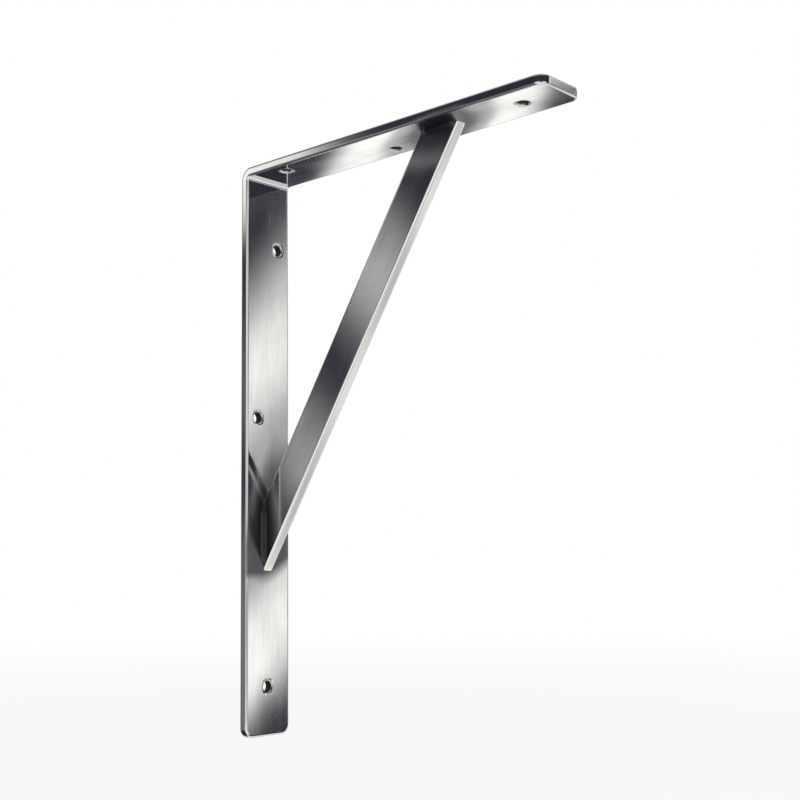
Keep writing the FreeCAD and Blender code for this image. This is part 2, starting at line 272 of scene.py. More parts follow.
class Patchwork:
    """A closed surface sewn from grids whose edges meet point to point.

    Points are in the piece's own flat layout (across, along, depth), before it is bent or placed.
    """

    def __init__(self):
        self.points = []
        self.marks = {"wear": [], "dull": [], "scorch": []}
        self.quads = []
        self.count = 0

    def add(self, points, keep=None, closed=False, **marks):
        """Lays a grid of rows and columns of points; keep picks its cells, closed joins its sides.

        The marks say from 0 to 1 how worn the plating is at each point, how dull and darkened by
        painted shade, and how strong the painted shade beside the welds is.
        """
        rows, columns = points.shape[:2]
        index = np.arange(rows * columns).reshape(rows, columns) + self.count
        if closed:
            index = np.hstack([index, index[:, :1]])
        quads = np.stack(
            [index[:-1, :-1], index[:-1, 1:], index[1:, 1:], index[1:, :-1]], axis=-1)
        self.quads.append(quads[keep] if keep is not None else quads.reshape(-1, 4))
        self.points.append(points.reshape(-1, 3))
        for name, values in self.marks.items():
            mark = np.broadcast_to(np.asarray(marks.get(name, 0.0)), (rows, columns))
            values.append(mark.reshape(-1))
        self.count += rows * columns

    def loose_mesh(self, name, points):
        """The grids side by side, with the points given for those of the layout."""
        mesh = bpy.data.meshes.new(name)
        mesh.from_pydata(points, [], np.concatenate(self.quads).tolist())
        return mesh

    def sew(self, name, place):
        """The piece: place turns layout points into the bracket's frame."""
        layout = np.concatenate(self.points)
        mesh = self.loose_mesh(name, place(layout))
        mesh.attributes.new("layout", "FLOAT_VECTOR", "POINT").data.foreach_set(
            "vector", layout.astype(np.float32).ravel())
        for mark, values in self.marks.items():
            mesh.attributes.new(mark, "FLOAT", "POINT").data.foreach_set(
                "value", np.concatenate(values).astype(np.float32))
        sewn = bmesh.new()
        sewn.from_mesh(mesh)
        bmesh.ops.remove_doubles(sewn, verts=sewn.verts, dist=SEAM)
        bmesh.ops.recalc_face_normals(sewn, faces=sewn.faces)
        open_edges = [edge for edge in sewn.edges if len(edge.link_faces) != 2]
        if open_edges:
            raise RuntimeError("%s has %d edges that aren't closed" % (name, len(open_edges)))
        sewn.to_mesh(mesh)
        sewn.free()
        mesh.shade_smooth()
        mesh.set_sharp_from_angle(angle=CREASE)
        return add_object(name, mesh)


class Seat(NamedTuple):
    """The beads at one end of the strut: their ends along the bar, and how far the painted shade
    round them fades.

    The inner end is the one towards the bend, and inwards is that way.
    """

    outer: float
    inner: float
    inwards: float
    outwards: float
    sideways: float


class BentBar:
    """The bent bar as a flat plate and the way it is bent.

    across runs over its width, along from the lower end through the bend to the arm's free end,
    and depth from the side that meets wall and shelf to the side that faces the room.
    """

    def __init__(self, sizes):
        self.sizes = sizes
        self.thickness = sizes.thickness
        self.rounding = sizes.edge_rounding
        self.corner = sizes.corner_radius
        half_width = (BAR_HIGH.y - BAR_LOW.y) / 2
        self.flat = half_width - self.rounding
        self.pivot = half_width - self.corner
        self.outer_radius = sizes.inner_radius + sizes.thickness
        middle_radius = sizes.inner_radius + sizes.thickness / 2
        self.bend_start = BAR_HIGH.z - self.outer_radius - BAR_LOW.z
        self.bend_end = self.bend_start + middle_radius * math.pi / 2
        arm_shift = self.bend_end - BAR_LOW.x - self.outer_radius
        self.length = BAR_HIGH.x + arm_shift

        wall = [MOUNTS[name]["pos_m"] for name in WALL_SCREWS]
        shelf = [MOUNTS[name]["pos_m"] for name in SHELF_SCREWS]
        self.holes = [(y, z - BAR_LOW.z) for _, y, z in wall]
        self.holes += [(y, x + arm_shift) for x, y, _ in shelf]
        self.hole_radius = MOUNTS[WALL_SCREWS[0]]["dims"]["r_mm"] / 1000

        foot_low, foot_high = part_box("weld_lower_left")
        head_low, head_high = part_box("weld_upper_left")
        self.seats = [
            Seat(foot_low.z - BAR_LOW.z, foot_high.z - BAR_LOW.z, *FOOT_PAINTED_SHADE),
            Seat(head_high.x + arm_shift, head_low.x + arm_shift, *HEAD_PAINTED_SHADE),
        ]
        self.across = self.across_lines()
        self.along = self.along_lines()
        # the lines between the corners, from one pivot to the other
        self.inside = self.across[abs(self.across) < self.pivot + SAME]

    def place(self, layout):
        """Straight up to the bend, a quarter turn about its centre, then straight out.

        In the bend a point's angle is its share of the way along times a right angle, and its
        distance from the centre is the outer radius less its depth.
        """
        across, along, depth = layout.T
        turn = np.clip((along - self.bend_start) / (self.bend_end - self.bend_start), 0, 1)
        turn = turn * math.pi / 2
        radius = self.outer_radius - depth
        below = np.minimum(along - self.bend_start, 0)
        beyond = np.maximum(along - self.bend_end, 0)
        x = BAR_LOW.x + self.outer_radius - radius * np.cos(turn) + beyond
        z = BAR_HIGH.z - self.outer_radius + radius * np.sin(turn) + below
        return np.stack([x, across, z], axis=-1)

    def seat_painted_shade(self, layout):
        """Painted shade beside the welds on the room side, where shade falls round the strut's
        ends:
        a bell of the distance from each bead.

        The distance is counted in reaches, which differ towards the bend, away from it and
        sideways. The shade's ends run askew across the bar, and it fades with the depth.
        """
        across, along, depth = np.moveaxis(layout, -1, 0)
        beside = np.maximum(abs(across) - STRUT_HIGH.y, 0)
        askew = across / PAINTED_SHADE_SKEW
        scorch = 0
        for seat in self.seats:
            way = math.copysign(1, seat.inner - seat.outer)
            past_inner = (along - seat.inner) * way / seat.inwards - askew
            past_outer = (seat.outer - along) * way / seat.outwards + askew
            past_ends = np.maximum(past_inner, 0) + np.maximum(past_outer, 0)
            apart = past_ends + beside / seat.sideways
            scorch = scorch + np.exp(-apart ** 2)
        return scorch * (depth / self.thickness) ** 2

    def across_lines(self):
        """Lines across: fine all over, through the holes' fields, the corners and the roundings."""
        field = self.sizes.hole_field
        support = self.flat - self.rounding * SUPPORT_SHARE
        sides = [across + offset for across, _ in self.holes for offset in (-field, field)]
        stops = [-self.flat, -support, -self.pivot, self.pivot, support, self.flat]
        return lines_through(stops + sides, self.sizes.fine_step)

    def along_lines(self):
        """Lines along: finest in the bend, fine at holes and the painted shade, and coarse
        elsewhere.
        """
        field = self.sizes.hole_field
        fine = self.sizes.fine_step
        spans = [(along - field, along + field) for _, along in self.holes]
        spans += [(seat.outer - seat.outwards, seat.outer + seat.outwards) for seat in self.seats]
        support = fine * SUPPORT_SHARE
        bend = [self.bend_start - support, self.bend_start, self.bend_end, self.bend_end + support]
        lines = [lines_through(span, fine) for span in spans] + [lines_through(bend, support)]
        stops = np.concatenate(lines + [[self.corner, self.length - self.corner]])
        return lines_through(stops, self.sizes.coarse_step)


def lay_bar_face(patchwork, bar, depth):
    """One broad face: a field with squares left out for the holes, end strips and corner fans.

    A corner fan's points lie at the corner's pivot plus a radius turned through a quarter circle.
    """
    across, along = bar.across, bar.along
    middle_across = (across[1:] + across[:-1])[None, :] / 2
    middle_along = (along[1:] + along[:-1])[:, None] / 2
    keep = np.ones((len(along) - 1, len(across) - 1), bool)
    for hole_across, hole_along in bar.holes:
        beside = abs(middle_across - hole_across) > bar.sizes.hole_field
        apart = abs(middle_along - hole_along) > bar.sizes.hole_field
        keep &= beside | apart
    points = level(across[None, :], along[:, None], depth)
    patchwork.add(points, keep=keep, scorch=bar.seat_painted_shade(points))

    radii = (across[across > bar.pivot - SAME] - bar.pivot)[:, None]
    quarter = quarter_turn(CORNER_STEPS)
    for end, outwards in ((bar.corner, -1), (bar.length - bar.corner, 1)):
        patchwork.add(level(bar.inside[None, :], end + outwards * radii, depth))
        for side in (-1, 1):
            fan_across = side * (bar.pivot + radii * np.cos(quarter))
            fan_along = end + outwards * radii * np.sin(quarter)
            patchwork.add(level(fan_across, fan_along, depth))


def rounded_outline(bar):
    """The closed line round a broad face, with the direction that leads out of it at each point."""
    arc = bar.corner - bar.rounding
    quarter = quarter_turn(CORNER_STEPS)[1:-1]
    far, near = bar.length - bar.corner, bar.corner

    def straight(points_across, points_along, outwards):
        line = np.stack(np.broadcast_arrays(points_across, points_along), axis=-1)
        return line, np.broadcast_to(outwards, line.shape)

    def turn(side, end, way, angles):
        outwards = np.stack([side * np.cos(angles), way * np.sin(angles)], axis=-1)
        return np.array([side * bar.pivot, end]) + arc * outwards, outwards

    runs = [
        straight(bar.flat, bar.along, (1, 0)),
        turn(1, far, 1, quarter),
        straight(bar.inside[::-1], far + arc, (0, 1)),
        turn(-1, far, 1, quarter[::-1]),
        straight(-bar.flat, bar.along[::-1], (-1, 0)),
        turn(-1, near, -1, quarter),
        straight(bar.inside, near - arc, (0, -1)),
        turn(1, near, -1, quarter[::-1]),
    ]
    return [np.concatenate(part) for part in zip(*runs)]


def lay_bar_rim(patchwork, bar):
    """The bar's edge: a quarter round, a flat and a quarter round, carried along the outline.

    The flat has a line close to either rounding, which keeps its shading flat.
    """
    outline, outwards = rounded_outline(bar)
    quarter = quarter_turn(ROUNDING_STEPS)
    support = bar.rounding * (1 + SUPPORT_SHARE)
    reach = np.concatenate([np.sin(quarter), [1, 1], np.cos(quarter)]) * bar.rounding
    depth = np.concatenate([
        bar.thickness - bar.rounding + bar.rounding * np.cos(quarter),
        [bar.thickness - support, support],
        bar.rounding - bar.rounding * np.sin(quarter),
    ])
    wear = np.concatenate([np.sin(2 * quarter), [EDGE_FLAT_WEAR] * 2, np.sin(2 * quarter)])
    rows = outline[None] + reach[:, None, None] * outwards[None]
    rows = np.concatenate([rows, np.broadcast_to(depth[:, None, None], rows.shape[:2] + (1,))], -1)
    # The bar's ends: dull plating, darkened partly as painted shade
    dull = END_DULL_SHADE * outwards[:, 1] ** 2
    patchwork.add(
        rows, closed=True, wear=wear[:, None], dull=dull[None], scorch=bar.seat_painted_shade(rows))


def lay_screw_hole(patchwork, bar, hole):
    """A hole as a spool: from its square field in to the rim, down the wall and out again behind.

    Each row is a circle, or a blend of circle and square: (1 - share) x square + share x circle.
    """
    field = bar.sizes.hole_field
    xs = bar.across[abs(bar.across - hole[0]) < field + SAME] - hole[0]
    ys = bar.along[abs(bar.along - hole[1]) < field + SAME] - hole[1]
    square = np.concatenate([
        np.stack(np.broadcast_arrays(field, ys[:-1]), -1),
        np.stack(np.broadcast_arrays(xs[:0:-1], field), -1),
        np.stack(np.broadcast_arrays(-field, ys[:0:-1]), -1),
        np.stack(np.broadcast_arrays(xs[:-1], -field), -1),
    ])
    angle = np.linspace(0, 2 * math.pi, len(square), endpoint=False) - math.pi / 4
    circle = np.stack([np.cos(angle), np.sin(angle)], -1)

    wall = bar.hole_radius
    thick = bar.thickness
    rim = bar.sizes.rim_width
    soft = rim * RIM_SOFTNESS
    shares = np.linspace(0, 1, FIELD_STEPS + 1)
    # share of circle, radius, depth, wear, dullness with painted shade (darkest down the hole's
    # wall)
    rows = [(share, wall + rim + soft, thick, FIELD_WEAR * share, 0) for share in shares]
    rows += [
        (1, wall + rim, thick - soft * 0.4, 0.8, 0.1),
        (1, wall + rim - soft, thick - soft, 0.6, 0.3),
        (1, wall + soft, thick - rim + soft, 0.3, 0.6),
        (1, wall + soft * 0.3, thick - rim, 0.4, 0.9),
        (1, wall, thick - rim - soft, 0, 1),
        (1, wall, thick / 2, 0, 1),
        (1, wall, soft * 2, 0, 1),
        (1, wall + soft * 0.6, soft * 0.6, 0.6, 0.5),
    ]
    rows += [(share, wall + soft * 2, 0, FIELD_WEAR * share, 0) for share in shares[::-1]]
    share, radius, depth, wear, dull = np.array(rows).T[..., None]
    share, radius = share[..., None], radius[..., None]
    ring = (1 - share) * square[None] + share * radius * circle[None] + np.array(hole)
    depth = np.broadcast_to(depth[..., None], ring.shape[:2] + (1,))
    points = np.concatenate([ring, depth], -1)
    patchwork.add(points, closed=True, wear=wear, dull=dull, scorch=bar.seat_painted_shade(points))


class Strut:
    """The strut's run from the upright to the arm, and the way its section is carried along it.

    across runs over its width, along from foot to head and depth over its thickness.
    """

    def __init__(self, sizes):
        self.sizes = sizes
        self.half_thickness = (STRUT_HIGH.y - STRUT_LOW.y) / 2
        run = Vector((STRUT_HIGH.x - STRUT_LOW.x, 0, STRUT_HIGH.z - STRUT_LOW.z)).normalized()
        foot = Vector((STRUT_LOW.x, 0, STRUT_LOW.z + sizes.width / 2 / run.x))
        self.length = (STRUT_HIGH.z - foot.z) / run.z
        self.run = np.array(run)
        self.foot = np.array(foot)
        self.outwards = np.array([run.z, 0, -run.x])

    def place(self, layout):
        """The foot plus across, way and depth, each times its own direction.

        The way along the run is stretched at every point to end on the upright and under the arm.
        """
        across, along, depth = layout.T[..., None]
        start = -across * self.outwards[0] / self.run[0]
        stop = self.length - across * self.outwards[2] / self.run[2]
        way = start + along / self.length * (stop - start)
        return self.foot + across * self.outwards + way * self.run + depth * np.array([0, 1, 0])


def rounded_section(half_width, half_depth, radius):
    """A rounded rectangle as a closed line, with how far each point is into a rounding.

    Each side starts with the quarter circle before it, and has a line close to either rounding,
    so that smooth shading stays in the rounding and the flat stays flat.
    """
    quarter = quarter_turn(ROUNDING_STEPS)
    support = radius * SUPPORT_SHARE
    line, wear = [], []
    for number, (u, v) in enumerate([(1, 1), (-1, 1), (-1, -1), (1, -1)]):
        angle = quarter + number * math.pi / 2
        centre = np.array([u * (half_width - radius), v * (half_depth - radius)])
        arc = centre + radius * np.stack([np.cos(angle), np.sin(angle)], -1)
        span = 2 * ((half_width, half_depth)[number % 2] - radius)
        steps = np.linspace(support, span - support, math.ceil(span / FLAT_STEP) + 1)
        onward = np.array([-np.sin(angle[-1]), np.cos(angle[-1])])
        line += [arc, arc[-1] + steps[:, None] * onward]
        wear += [np.sin(2 * quarter), np.zeros(len(steps))]
    return np.concatenate(line), np.concatenate(wear)


def lay_strut(patchwork, strut):
    """The strut's section carried from end to end, and a fan of faces over each end.

    Its broad sides get painted shade near the ends, a bell of the distance from the nearer end.
    """
    rounding = strut.sizes.edge_rounding
    section, wear = rounded_section(strut.sizes.width / 2, strut.half_thickness, rounding)
    # The strut's narrow sides: dull plating, darkened partly as painted shade
    dull = NARROW_SIDE_DULL_SHADE * (abs(section[:, 1]) < strut.half_thickness - rounding)
    along = np.linspace(0, strut.length, strut.sizes.rows + 1)[:, None]
    rows = np.stack(np.broadcast_arrays(section[:, 0], along, section[:, 1]), -1)
    from_end = np.minimum(along, strut.length - along)
    broad = abs(section[:, 1]) > strut.half_thickness - SAME
    scorch = np.exp(-(from_end / STRUT_PAINTED_SHADE) ** 2) * broad
    patchwork.add(rows, closed=True, wear=wear[None], dull=dull[None], scorch=scorch)
    for end in (0, -1):
        middle = np.array([0, along[end, 0], 0])
        fan = np.stack([rows[end], np.broadcast_to(middle, rows[end].shape)])
        patchwork.add(fan, closed=True)


class Weld:
    """A bead's place in the corner between the strut's side and the bar.

    across lies on the bar and leads away from the strut, depth lies on the strut.
    """

    def __init__(self, node):
        self.low, self.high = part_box(node)
        self.on_arm = "upper" in node
        self.side = 1 if self.low.y > 0 else -1
        self.strut_side = min(self.low.y, self.high.y, key=abs)
        self.leg = self.high.y - self.low.y
        self.length = self.high.x - self.low.x if self.on_arm else self.high.z - self.low.z

    def place(self, layout):
        """Along runs out under the arm, or up the upright."""
        across, along, depth = layout.T
        y = self.strut_side + self.side * across
        if self.on_arm:
            return np.stack([self.low.x + along, y, self.high.z - depth], -1)
        return np.stack([self.low.x + depth, y, self.low.z + along], -1)


def weld_section():
    """A bead's section for a leg of one: along the bar, over the crowned face and up the strut.

    The face bulges past the straight line between its toes by the crown, as a sine arch.
    """
    face = np.linspace(0, 1, WELD_POINTS)
    arch = np.sin(math.pi * face)
    bulge = WELD_CROWN * arch
    face_line = np.stack([1 - face + bulge, face + bulge], -1) * WELD_FILL
    corner = np.array([[0.0, 0.0]])
    return np.concatenate([corner, face_line]), np.concatenate([[0.0], arch])


def lay_weld(patchwork, sizes, weld, rng):
    """A bead: its section scaled by a swell that falls to nothing at both ends.

    The swell is the root of 1 less a high power of the distance from the middle, less slow waves.
    Ripples are crescents: the depth follows |sin| of the way along, held back towards the toes.
    """
    section, arch = weld_section()
    ripples = weld.length / sizes.ripple_spacing
    along = np.linspace(0, 1, int(ripples * WELD_ROWS_PER_RIPPLE) + 1)
    ends = np.sqrt(1 - abs(2 * along - 1) ** WELD_BLUNTNESS)
    phase = rng.uniform(0, math.pi, SLOW_WAVES)
    slow = sum(
        np.sin((k + SLOW_TURNS) * math.pi * along + phase[k]) / (k + SLOW_WEAKNESS)
        for k in range(SLOW_WAVES))
    swell = ends * (1 - sizes.unevenness * ((1 + slow / SLOW_PEAK) / 2).clip(0, 1))
    ripple = abs(np.sin(math.pi * (along[:, None] * ripples + RIPPLE_LAG * (1 - arch))))
    groove = sizes.ripple_depth * arch * (1 - ripple) ** RIPPLE_SHARPNESS
    size = swell[:, None] * (1 - groove) * weld.leg
    rows = np.stack(np.broadcast_arrays(
        section[:, 0] * size, along[:, None] * weld.length, section[:, 1] * size), -1)
    patchwork.add(rows, closed=True, wear=CREST_WEAR * ripple * arch)


# Shaders

# The plating's patterns: their scale in turns per metre, and how a length along the bar is
# shrunk before a pattern is laid on it, which draws the pattern out along the bar
STREAK_SHRINK = 1 / 30
CLOUD_SHRINK = 0.6
SPECK_SCALE = 2600.0
SCRATCH_SCALE = 2400.0
SCRATCH_SHRINK = 1 / 90
WAVE_SCALE = 38.0
WAVE_SHRINK = 0.7
# How far one step of the seed shifts the patterns, and the middle value of every noise
SEED_SHIFT = (0.37, 0.91, 0.53)
NOISE_MIDDLE = 0.5
# Where a pattern or a mark sets in, where it is full, and its strength if that isn't one
CLOUD_STAIN = (0.35, 0.75, 0.55)
STREAK_STAIN = (0.3, 0.8, 0.30)
SPECK_STAIN = (0.55, 0.8, 0.25)
SCRATCH_LINES = (0.70, 0.78)
SCRATCH_PATCHES = (0.45, 0.62)
# Painted shade beside the welds: where its colour and its added roughness set in and are full
PAINTED_SHADE_COLOUR = (0.30, 0.92, 0.95)
PAINTED_SHADE_ROUGHNESS = (0.05, 0.5, 0.18)
CLOUD_ROUGHNESS = (0.3, 0.8, 0.03)
# How much of the stain is worn off an edge, and the stained tone as a share of a given tone
STAIN_WORN_OFF = 0.8
STAINED_SHARE = 0.72
# The painted shade's strength: what it has everywhere, and what clouds and streaks add
PAINTED_SHADE_EVEN = 0.75
PAINTED_SHADE_CLOUDS = 0.35
PAINTED_SHADE_STREAKS = 0.15
# What full dullness, streaks, scratches and wear add to the roughness
DULL_ROUGHNESS = 0.45
STREAK_ROUGHNESS = 0.04
SCRATCH_ROUGHNESS = 0.10
WEAR_ROUGHNESS = 0.05
# Heights in units of the bump's distance, which is a millimetre
BUMP_DISTANCE = 0.001
WAVE_HEIGHT = 0.03
STREAK_HEIGHT = 0.0008
SPECK_HEIGHT = 0.00015
SCRATCH_DEPTH = 0.001
# The beads are rougher than the bars, and their specks stand out more
WELD_ROUGHNESS = 0.26
WELD_SPECK_HEIGHT = 0.00215


class Wire:
    """An output socket whose arithmetic adds Math nodes to its tree."""

    def __init__(self, tree, socket):
        self.tree = tree
        self.socket = socket

    def math(self, operation, *values):
        return self.tree.add("ShaderNodeMath", {"operation": operation}, dict(enumerate(values)))

    def __add__(self, other):
        return self.math("ADD", self, other)

    __radd__ = __add__

    def __mul__(self, other):
        return self.math("MULTIPLY", self, other)

    __rmul__ = __mul__

    def __sub__(self, other):
        return self.math("SUBTRACT", self, other)

    def __rsub__(self, other):
        return self.math("SUBTRACT", other, self)

    def __pow__(self, other):
        return self.math("POWER", self, other)

    def rise(self, low, high, strength=1.0):
        """0 below low, the strength above high, and a smooth rise between them."""
        settings = {"interpolation_type": "SMOOTHSTEP"}
        return self.tree.add(
            "ShaderNodeMapRange", settings, {0: self, 1: low, 2: high, 4: strength})

    def step(self, place, blur):
        """0 below the place and 1 above it, blurred by so much to either side."""
        return self.rise(place - blur, place + blur)

    def waves(self, start, spacing):
        """Between 0 and 1 as a cosine, with crests at the start and every spacing from it."""
        turns = (self - start) * (2 * math.pi / spacing)
        return self.math("COSINE", turns) * 0.5 + 0.5

    def faint(self, strength):
        """From 1 down to 1 less the strength, as this goes from 1 down to 0."""
        return self * strength + (1 - strength)


class NodeTree:
    """Adds nodes to one material or world."""

    def __init__(self, owner):
        owner.use_nodes = True
        self.nodes = owner.node_tree.nodes
        self.links = owner.node_tree.links
        self.nodes.clear()

    def add(self, kind, settings=None, values=None, output=0):
        """A node of a type, with its settings made first and then its sockets' values or links."""
        node = self.nodes.new(kind)
        for name, value in (settings or {}).items():
            setattr(node, name, value)
        for key, value in (values or {}).items():
            if isinstance(value, Wire):
                self.links.new(value.socket, node.inputs[key])
            else:
                node.inputs[key].default_value = value
        return Wire(self, node.outputs[output]) if node.outputs else node

    def noise(self, place, scale, detail, roughness=0.5):
        return self.add("ShaderNodeTexNoise", {"noise_dimensions": "3D"}, {
            "Vector": place, "Scale": scale, "Detail": detail, "Roughness": roughness})

    def shrunk(self, place, shrink, shift):
        """Places with their second value shrunk, and then all shifted."""
        return self.add("ShaderNodeMapping", {"vector_type": "POINT"}, {
            "Vector": place, "Scale": (1.0, shrink, 1.0), "Location": shift})

    def mix(self, share, first, second):
        """Colours mixed: the first where share is 0 and the second where it is 1."""
        settings = {"data_type": "RGBA", "blend_type": "MIX"}
        first, second = [
            tone if isinstance(tone, Wire) else (*tuple(tone)[:3], 1.0) for tone in (first, second)
        ]
        return self.add("ShaderNodeMix", settings, {"Factor": share, 6: first, 7: second}, output=2)

    def attribute(self, name, output):
        return self.add("ShaderNodeAttribute", {"attribute_name": name}, output=output)


def plated_steel(name, finish, seed, tone=None, more_roughness=0.0, specks_high=SPECK_HEIGHT):
    """Bright plating over rolled bar: streaks, clouds, specks, scratches and wear, with dull
    patches darkened partly as painted shade, and painted shade beside the welds.

    Streaks and scratches run along the bar. Without a tone the finish's own tones are taken.
    """
    material = bpy.data.materials.new(name)
    tree = NodeTree(material)
    place = tree.attribute("layout", "Vector")
    wear = tree.attribute("wear", "Fac")
    dull = tree.attribute("dull", "Fac")
    scorch = tree.attribute("scorch", "Fac")
    shift = tuple(seed * part for part in SEED_SHIFT)

    streaks = tree.shrunk(place, STREAK_SHRINK, shift)
    streaks = tree.noise(streaks, 1 / finish.grain_width, detail=3.0, roughness=0.6)
    clouds = tree.noise(tree.shrunk(place, CLOUD_SHRINK, shift), 1 / finish.cloud_size, detail=3.0)
    specks = tree.noise(place, SPECK_SCALE, detail=2.0, roughness=0.7)
    lines = tree.noise(tree.shrunk(place, SCRATCH_SHRINK, shift[::-1]), SCRATCH_SCALE, detail=1.0)
    scratches = lines.rise(*SCRATCH_LINES) * clouds.rise(*SCRATCH_PATCHES)
    slow_waves = tree.noise(tree.shrunk(place, WAVE_SHRINK, shift), WAVE_SCALE, detail=1.0)

    stain = clouds.rise(*CLOUD_STAIN) + streaks.rise(*STREAK_STAIN) + specks.rise(*SPECK_STAIN)
    stain = stain * (1 - wear * STAIN_WORN_OFF)
    light = finish.light_tone if tone is None else tone
    grey = finish.grey_tone if tone is None else tuple(STAINED_SHARE * part for part in tone)
    # Painted shade beside the welds, its edge broken up by clouds and streaks
    scorch = scorch * (PAINTED_SHADE_EVEN + clouds * PAINTED_SHADE_CLOUDS + streaks * PAINTED_SHADE_STREAKS)
    # Dull plating, darkened partly as painted shade in the holes, on the bar's ends and the strut's
    # narrow sides
    colour = tree.mix(dull, tree.mix(stain, light, grey), finish.dull_and_shade_tone)
    colour = tree.mix(scorch.rise(*PAINTED_SHADE_COLOUR), colour, finish.painted_shade_tone)

    roughness = finish.roughness + more_roughness + clouds.rise(*CLOUD_ROUGHNESS)
    roughness = roughness + dull * dull * DULL_ROUGHNESS + scorch.rise(*PAINTED_SHADE_ROUGHNESS)
    roughness = roughness + (streaks - NOISE_MIDDLE) * STREAK_ROUGHNESS
    roughness = roughness + scratches * SCRATCH_ROUGHNESS + wear * WEAR_ROUGHNESS

    height = slow_waves * WAVE_HEIGHT + streaks * STREAK_HEIGHT + specks * specks_high
    height = height - scratches * SCRATCH_DEPTH
    normal = tree.add("ShaderNodeBump", None, {
        "Strength": 1.0, "Distance": BUMP_DISTANCE, "Height": height})
    surface = tree.add("ShaderNodeBsdfPrincipled", None, {
        "Base Color": colour, "Metallic": 1.0, "Roughness": roughness, "Normal": normal})
    tree.add("ShaderNodeOutputMaterial", None, {"Surface": surface})
    return material


# The room

# The camera's sensor in millimetres, and how near and far it sees
SENSOR_WIDTH = 36.0
NEAREST = 0.01
FARTHEST = 50.0

# Places in the room are dot products with one of its directions, or angles. Two values say where
# something sets in and where it is full, and a third is its strength. A ring is a wave to a power,
# which is less where it widens, and the rings' axis leans towards the camera and to one side.
RING_LEAN = 1.2
RING_TWIST = -0.0227
RING_START = 0.1393
RING_SPACING = 0.2145
RING_LOWEST = -0.108
RING_POWER = 1.2
RING_WIDENING = (-0.04, 0.17, 0.1)
RING_BLUR = 0.025
MIDDLE_BLUR = 0.2
RIGHT_HIGHEST = 0.27
RIGHT_BLUR = 0.02
RIGHT_END = (0.3, 0.5)
RIGHT_STRENGTH = 1.08
RIGHT_FALL = 1.2
LEFT_LOWEST = 0.11
LEFT_HIGHEST = 0.43
LEFT_BLUR = 0.03
LEFT_DIMMING = (-0.035, 0.0, 0.75)
LEFT_STRENGTH = 0.37
LEFT_GLOW = 0.13
LEFT_GLOW_END = (0.0, 0.05)
LAMP_DIRECTION = (-0.7235, -0.6157, 0.3123)
LAMP_RADIUS = math.radians(4.2)
LAMP_STRENGTH = 0.86
BACKDROP = (0.85, 0.95, 0.8)
CLOTH_SIDES = (-0.6, -0.35)
CLOTH_STRENGTH = 0.9
CLOTH_TOP = 0.30
CLOTH_BLUR = 0.02
CLOTH_WAVE = 0.35
CLOTH_START = 0.16
CLOTH_SPACING = 0.34
OPENING_DIRECTION = (0.742, -0.669, 0.04)
OPENING_RADIUS = math.radians(14)
OPENING_BLUR = 0.2
PANELS_BEHIND = (0.6, 0.85)
PANEL_EDGES = (0.3, 0.9)
PANEL_LEAN = 0.6
PANEL_START = math.radians(-12.28)
PANEL_SPACING = math.radians(5.7)
FLOOR_HIGHEST = -0.42
FLOOR_BLUR = 0.07
FLOOR_LEFT_END = (-0.5, -0.1)
FLOOR_STRENGTH = 0.97
FLOOR_WAVE = 0.42
FLOOR_START = -0.574
FLOOR_SPACING = 0.125
CEILING = (0.55, 0.75)
CEILING_END = (0.3, 0.6)
CEILING_STRENGTH = 0.45

# The real floor: its size, its rings and corners, and the gap under the bracket
FLOOR_RADIUS = 6.0
FLOOR_FIRST_RING = 0.1
FLOOR_RINGS = 12
FLOOR_CORNERS = 64
FLOOR_GAP = 0.0003
# How much plain white the camera sees near the bracket, and between which distances it turns full
FLOOR_WHITENESS = 0.9
FLOOR_FADE = (0.2, 1.2)


def camera_axes(studio):
    """The camera's right, up and forward directions, from its yaw, pitch and roll."""
    yaw, pitch, roll = studio.yaw, studio.pitch, studio.roll
    forward = Vector((
        -math.sin(yaw) * math.cos(pitch), math.cos(yaw) * math.cos(pitch), math.sin(pitch)))
    right = forward.cross(Vector((0, 0, 1))).normalized()
    up = right.cross(forward)
    lean = Matrix.Rotation(roll, 3, forward)
    return lean @ right, lean @ up, forward


def place_camera(studio):
    """The camera, turned so that its own axes lie along its right, up and backward directions."""
    data = bpy.data.cameras.new("camera")
    data.sensor_width = SENSOR_WIDTH
    data.lens = studio.lens
    data.clip_start = NEAREST
    data.clip_end = FARTHEST
    camera = add_object("camera", data)
    right, up, forward = camera_axes(studio)
    turn = Matrix((right, up, -forward)).transposed().to_4x4()
    camera.matrix_world = Matrix.Translation(Vector(studio.camera_place)) @ turn
    bpy.context.scene.camera = camera


class Outlook:
    """Where a ray leads: its dot products with up, back and right, and with the rings' axis."""

    def __init__(self, tree, studio):
        self.tree = tree
        self.direction = tree.add("ShaderNodeTexCoord", output="Object")
        up = Vector((0, 0, 1))
        back = Vector((-math.sin(studio.yaw), math.cos(studio.yaw), 0))
        right = Vector((math.cos(studio.yaw), math.sin(studio.yaw), 0))
        self.up = self.along(up)
        self.back = self.along(back)
        self.right = self.along(right)
        self.axis = self.along(up - RING_LEAN * back + RING_TWIST * right)

    def along(self, vector):
        return self.tree.add("ShaderNodeVectorMath", {"operation": "DOT_PRODUCT"},
                             {0: self.direction, 1: vector}, output="Value")


